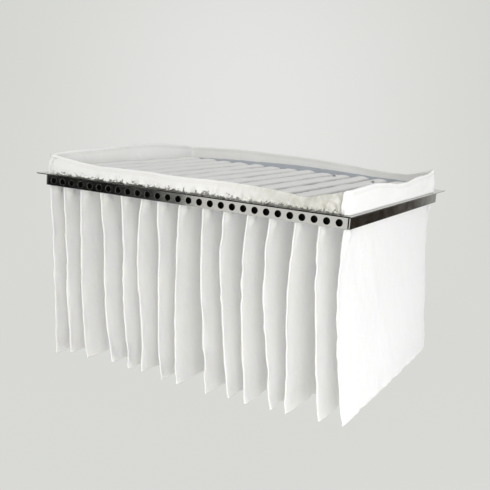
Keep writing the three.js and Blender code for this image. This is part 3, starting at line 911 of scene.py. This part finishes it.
class FILTER_OT_mouth_bands(bpy.types.Operator):
    """Drape the felt bands that join neighbouring mouths over the support bars"""

    bl_idname = "filter.mouth_bands"
    bl_label = "Mouth bands"

    def execute(self, context):
        sizes = context.scene.filter_sizes
        for k, name in enumerate(MOUTH_BANDS):
            low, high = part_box(name)
            triangles = triangles_of(name)
            length = high.y - low.y
            width = high.x - low.x
            down = lay_out(length, [0.0, 1.0 * MM, 3 * MM, 6 * MM, 11 * MM], 8 * MM)
            across = lay_out(width, [0.0, 0.7 * MM, 1.7 * MM, 3.2 * MM, 6 * MM], 3.2 * MM)
            upper, lower = [], []
            for d in down:
                y = low.y + d
                segments = cut(triangles, 1, held(y, low.y + 0.1 * MM, high.y - 0.1 * MM))
                heights = [reach(segments, 0, low.x + held(a, 0.05 * MM, width - 0.05 * MM), 2)
                           for a in across]
                upper.append([b for a, b in heights])
                lower.append([a for a, b in heights])
            crests = smoothed(np.array([[row[len(row) // 2]] * 3 for row in upper]), 2)[:, 1]
            crown, band_shading = [], []
            for r, d in enumerate(down):
                row = []
                y = low.y + d
                end = min(d, length - d)
                for i, a in enumerate(across):
                    x = low.x + a
                    beside = abs(2 * a / width - 1)
                    # A soft pillow over the bar: round in the middle, and steep into the slits
                    pillow = math.sqrt(max(0.0, 1 - beside ** 2.5))
                    puff = (1.3 * rolling(x, y, 2.1 * k, 0.06) + 0.7 * rolling(x, y, 9 + k, 0.02)) * MM
                    roll = 1.5 * MM * math.exp(-end / (3 * MM))
                    crest, shade = tucked(x, y)
                    z = low.z + (crests[r] - low.z + puff - roll + crest) * pillow
                    row.append(Vector((x, y, max(z, lower[r][i] + 0.5 * MM))))
                    uneven = 0.45 + 0.45 * k / (len(MOUTH_BANDS) - 1) + 0.35 * rolling(x * 3, y, 4 * k, 0.07)
                    # Painted shade where the band falls into the slit beside it
                    slit = held((beside - 0.62) / 0.28) ** 1.6 * held(uneven, 0.1)
                    band_shading.append(max(slit, shade))
                crown.append(row)
                band_shading += band_shading[-len(across):][::-1]
            under = [[Vector((low.x + a, low.y + d, lower[r][i])) for i, a in enumerate(across)]
                     for r, d in enumerate(down)]
            rings = [top + bottom[::-1] for top, bottom in zip(crown, under)]
            points = [p for ring in rings for p in ring]
            n = len(rings[0])
            faces = skin(rings, flip=True)
            faces += closing(0, n, False) + closing(len(points) - n, n, True)
            piece = new_piece(name + "_felt", points, faces, Finishes.made["inner_felt"], name)
            layer = piece.data.attributes.new("band_shade", "FLOAT", "POINT")
            layer.data.foreach_set("value", band_shading)
        return {"FINISHED"}


# ---------------------------------------------------------------- the collar

# Rows of points up the collar's wall
ROWS = 18
# How high the strip of painted shade stands along the back wall, from left to right, in millimetres
BACK_FOOT_SHADE_TOPS = (15, 18, 21, 23, 24, 26, 27, 26, 25, 23, 20, 20, 17, 13)


class FILTER_OT_collar(bpy.types.Operator):
    """Stand up the hemmed felt collar round the opening, gathered along its front foot"""

    bl_idname = "filter.collar"
    bl_label = "Collar"

    def execute(self, context):
        sizes = context.scene.filter_sizes
        low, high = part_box("collar")
        tree = ray_tree("collar")
        # Outer radii of the corners: front right, back right, back left, front left
        radii = [14 * MM, 15 * MM, 12 * MM, 3 * MM]
        stations = self.stations(low, high, radii, 2.4 * MM, sizes.corner_seam)
        heights, outer, inner, hems = [], [], [], []
        for start, out, s in stations:
            foot = self.edge_of(tree, start, out, 8 * MM + low.z, low.z - 1 * MM)
            hem = self.edge_of(tree, start, out, 14 * MM + low.z, high.z + 1 * MM)
            shares = [i / (ROWS - 1) for i in range(ROWS)]
            # Closer together at the foot and the hem
            shares = [share - 0.04 * math.sin(2 * math.pi * share) for share in shares]
            walls = [self.wall_at(tree, start, out, foot + (hem - foot) * held(share, 0.03, 0.97))
                     for share in shares]
            heights.append([foot + (hem - foot) * share for share in shares])
            outer.append([near for near, far in walls])
            inner.append([far for near, far in walls])
            hems.append(hem)
        across_out, across_in = self.evened(np.array(outer), 5), self.evened(np.array(inner), 5)
        raised = self.evened(np.array(hems), 6)
        points_out, points_in = [], []
        length = 2 * ((high.x - low.x) + (high.y - low.y))
        folds = soft_folds(7, 60, (14 * MM, 40 * MM), (3.5 * MM, 8 * MM), (length, 0.05))
        for c, (start, out, s) in enumerate(stations):
            col_out, col_in = [], []
            # The front wall's foot is gathered, and more so towards its right end
            from_left = max(0.0, start.x - low.x)
            share = min(1.0, from_left / (high.x - low.x))
            gather = max(0.0, -out.y) * (0.65 + 0.35 * share) * min(1.0, from_left / 0.03)
            # The sewn seam near the front right corner, and the creases that run up to it
            from_seam = (high.x - low.x) - sizes.corner_seam - s
            corner = bell(max(0.0, from_seam - 8 * MM), 30 * MM) if from_seam > 0 else 0.0
            # The front left corner stands up straight
            straight = 4.5 * MM * bell((start - stations[0][0]).length, 11 * MM)
            for i in range(ROWS):
                z = heights[c][i] + (raised[c] - hems[c]) * (i / (ROWS - 1))
                top = raised[c] - z
                rise = z - low.z
                crumple = (1.5 - 7.0 * abs(rolling(s, 0.7 * z, 5, 0.012))
                           - 5.0 * abs(rolling(s, z, 3, 0.0062)) + 3.0 * rolling(s, z, 8, 0.026))
                pleat = gather * bell(rise, 12 * MM) * MM * crumple
                wrinkle = sizes.fold * 0.7 * fold_height(folds, s, rise)
                creases = corner * MM * (2.6 - 13.0 * abs(rolling(s + 0.35 * z, 0.6 * z, 21, 0.015))
                                         + 4.0 * rolling(s, z, 13, 0.009))
                off_seam = from_seam + 0.9 * MM * rolling(z, 1, 4, 0.009)
                ridge = (1.7 + 1.4 * rolling(z, 5, 2, 0.005)) * MM * bell(off_seam, 1.1 * MM)
                ridge -= (2.0 + 2.6 * rolling(z, 2, 7, 0.006)) * MM * bell(off_seam - 3.2 * MM, 1.9 * MM)
                upright = straight * min(1.0, rise / (44 * MM)) ** 2
                slow = 0.8 * MM * rolling(s, z, 0, 0.05)
                # The folds fade where the wall is sewn down and where the hem stiffens it
                free = min(1.0, rise / (8 * MM)) * min(1.0, 0.3 + top / (20 * MM))
                move = ridge + upright + pleat + (wrinkle + creases + slow) * free
                sewn = -0.45 * MM * sum(bell(top - line, 1.0 * MM)
                                        for line in (sizes.hem_line, sizes.hem_line + sizes.hem_gap))
                lift = gather * MM * math.exp(-rise / (6 * MM)) * (
                    5.0 * max(0.0, rolling(s, 2, 9, 0.018)) + 4.0 * max(0.0, rolling(s, 7, 4, 0.007)))
                # The felt is rounded off along its foot and along its folded hem
                near, far = across_out[c][i], across_in[c][i]
                middle, half = (near + far) / 2, (far - near) / 2 * (0.35 if i in (0, ROWS - 1) else 1.0)
                spot = Vector((start.x, start.y, z + lift))
                col_out.append(spot - out * (middle - half - move - sewn))
                col_in.append(spot - out * (middle + half - move + sewn))
            points_out.append(col_out)
            points_in.append(col_in)
        rings = [o + i[::-1] for o, i in zip(points_out, points_in)]
        points = [p for ring in rings for p in ring]
        # The last ring of points joins the first
        faces = [tuple(i % len(points) for i in (a, d, c, b)) for a, b, c, d in skin(rings + rings[:1])]
        piece = new_piece("collar_felt", points, faces,
                          Finishes.made["collar_felt"], "collar")
        self.back_foot_shade_strip(points_in, stations, low, high)
        threads = self.hem_stitches(points_out, points_in, stations, sizes)
        return {"FINISHED"}

    def back_foot_shade_strip(self, points_in, stations, low, high):
        """A darker strip of felt along the foot of the back wall that paints the shade there, uneven along
        its top.
        """
        front, back = [], []
        for column, (start, out, s) in zip(points_in, stations):
            if out.y < 0.99 or not low.x + 12 * MM < start.x < high.x - 16 * MM:
                continue
            at = (start.x - low.x) / (high.x - low.x) * (len(BACK_FOOT_SHADE_TOPS) - 1)
            i = min(int(at), len(BACK_FOOT_SHADE_TOPS) - 2)
            left, right = BACK_FOOT_SHADE_TOPS[i:i + 2]
            top = (left + (right - left) * (at - i) + 0.8 * rolling(start.x, 0, 6, 0.02)) * MM
            near, far = [], []
            for share in (0.0, 0.1, 0.3, 0.5, 0.7, 0.9, 1.0):
                z = low.z + 2 * MM + (top - 2 * MM) * share
                j = next(j for j in range(1, len(column)) if column[j].z >= z or j == len(column) - 1)
                a, b = column[j - 1], column[j]
                wall = a.lerp(b, held((z - a.z) / max(b.z - a.z, 1e-6)))
                near.append(Vector((wall.x, wall.y - 1.6 * MM - 0.5 * MM * rolling(start.x, z, 3, 0.03), z)))
                far.append(Vector((wall.x, wall.y - 0.3 * MM, z)))
            front.append(near)
            back.append(far)
        rings = [a + b[::-1] for a, b in zip(front, back)]
        points = [p for ring in rings for p in ring]
        faces = skin(rings, flip=True)
        n = len(rings[0])
        faces.append(tuple(range(n)))
        faces.append(tuple((len(rings) - 1) * n + i for i in reversed(range(n))))
        piece = new_piece("back_foot_shade_strip_felt", points, faces, Finishes.made["back_foot_shade_felt"])

    def stations(self, low, high, radii, step, seam):
        """Places round the collar, a little outside it: start, outward direction, distance."""
        made = []
        walls = [((low.x, low.y), (1, 0), high.x - low.x), ((high.x, low.y), (0, 1), high.y - low.y),
                 ((high.x, high.y), (-1, 0), high.x - low.x), ((low.x, high.y), (0, -1), high.y - low.y)]
        s = 0.0
        off = 12 * MM
        for side, (corner, along, length) in enumerate(walls):
            before, radius = radii[side - 1], radii[side]
            out = Vector((along[1], -along[0], 0))
            forward = Vector((along[0], along[1], 0))
            origin = Vector((corner[0], corner[1], 0)) + out * off
            spans = round((length - before - radius) / step)
            places = [before + (length - before - radius) * i / spans for i in range(spans)]
            if side == 0:
                # Close together over the corner seam, so that its ridge keeps its shape
                near = length - seam
                places = [d for d in places if d < near - 8 * MM]
                fine = [near + 0.8 * MM * i for i in range(-9, 10)]
                places = sorted(places + [d for d in fine if d < length - radius - 0.5 * MM])
            made.extend((origin + forward * d, out, s + d) for d in places)
            centre = origin - out * (off + radius) + forward * (length - radius)
            turns = 9
            for i in range(turns):
                angle = math.pi / 2 * i / turns
                way = out * math.cos(angle) + forward * math.sin(angle)
                made.append((centre + way * (radius + off), way, s + length - radius + radius * angle))
            s += length
        return made

    def wall_at(self, tree, start, out, z):
        """How far in from the start the wall's outer and inner faces are, at height z."""
        origin = Vector((start.x, start.y, z))
        first = tree.ray_cast(origin, -out, 50 * MM)
        if first[0] is None:
            return None
        near = first[3]
        second = tree.ray_cast(origin - out * (near + 0.2 * MM), -out, 20 * MM)
        far = near + 0.2 * MM + second[3] if second[0] is not None else near + 2 * MM
        return near, far

    def edge_of(self, tree, start, out, inside, beyond):
        """The height at which the wall ends, found between a height in it and one beyond it."""
        for _ in range(12):
            middle = (inside + beyond) / 2
            if self.wall_at(tree, start, out, middle) is None:
                beyond = middle
            else:
                inside = middle
        return inside

    def evened(self, values, rounds):
        """Values round the collar, each evened out with its two neighbours."""
        for _ in range(rounds):
            values = 0.5 * values + 0.25 * (np.roll(values, 1, axis=0) + np.roll(values, -1, axis=0))
        return values

    def hem_stitches(self, points_out, points_in, stations, sizes):
        """Two rows of stitches round the hem, outside and inside."""
        verts, faces = [], []
        for columns, sign in ((points_out, 1), (points_in, -1)):
            for drop in (sizes.hem_line, sizes.hem_line + sizes.hem_gap):
                path, outward = [], []
                for column, (start, out, s) in zip(columns, stations):
                    target = column[-1].z - drop
                    i = next(j for j in range(len(column) - 1, 0, -1) if column[j - 1].z <= target)
                    a, b = column[i - 1], column[i]
                    path.append(a.lerp(b, (target - a.z) / max(b.z - a.z, 1e-6)))
                    outward.append(out * sign)
                path.append(path[0])
                outward.append(outward[0])
                stitch_row(path, outward, sizes.stitch * 0.8, sizes.thread, verts, faces)
        return new_piece("collar_hem_stitches", verts, faces, Finishes.made["thread"])


# ---------------------------------------------------------------- the panel

class FILTER_PT_panel(bpy.types.Panel):
    """Lists the filter's sizes, colours and steps"""

    bl_label = "Bag air filter"
    bl_idname = "FILTER_PT_panel"
    bl_space_type = "VIEW_3D"
    bl_region_type = "UI"
    bl_category = "Filter"

    def draw(self, context):
        for group in (context.scene.filter_sizes, context.scene.filter_colours):
            for name in group.bl_rna.properties.keys():
                if name not in ("rna_type", "name"):
                    self.layout.prop(group, name)
        for step in STEPS:
            self.layout.operator(step.bl_idname)


STEPS = (FILTER_OT_stage, FILTER_OT_frame, FILTER_OT_pockets, FILTER_OT_mouth_bands, FILTER_OT_collar)
CLASSES = (FilterSizes, FilterColours, *STEPS, FILTER_PT_panel)


def register():
    for cls in CLASSES:
        bpy.utils.register_class(cls)
    bpy.types.Scene.filter_sizes = PointerProperty(type=FilterSizes)
    bpy.types.Scene.filter_colours = PointerProperty(type=FilterColours)


def unregister():
    del bpy.types.Scene.filter_sizes
    del bpy.types.Scene.filter_colours
    for cls in reversed(CLASSES):
        bpy.utils.unregister_class(cls)


def main():
    register()
    bpy.ops.filter.stage()
    bpy.ops.filter.frame()
    bpy.ops.filter.pockets()
    bpy.ops.filter.mouth_bands()
    bpy.ops.filter.collar()


if __name__ == "__main__":
    main()
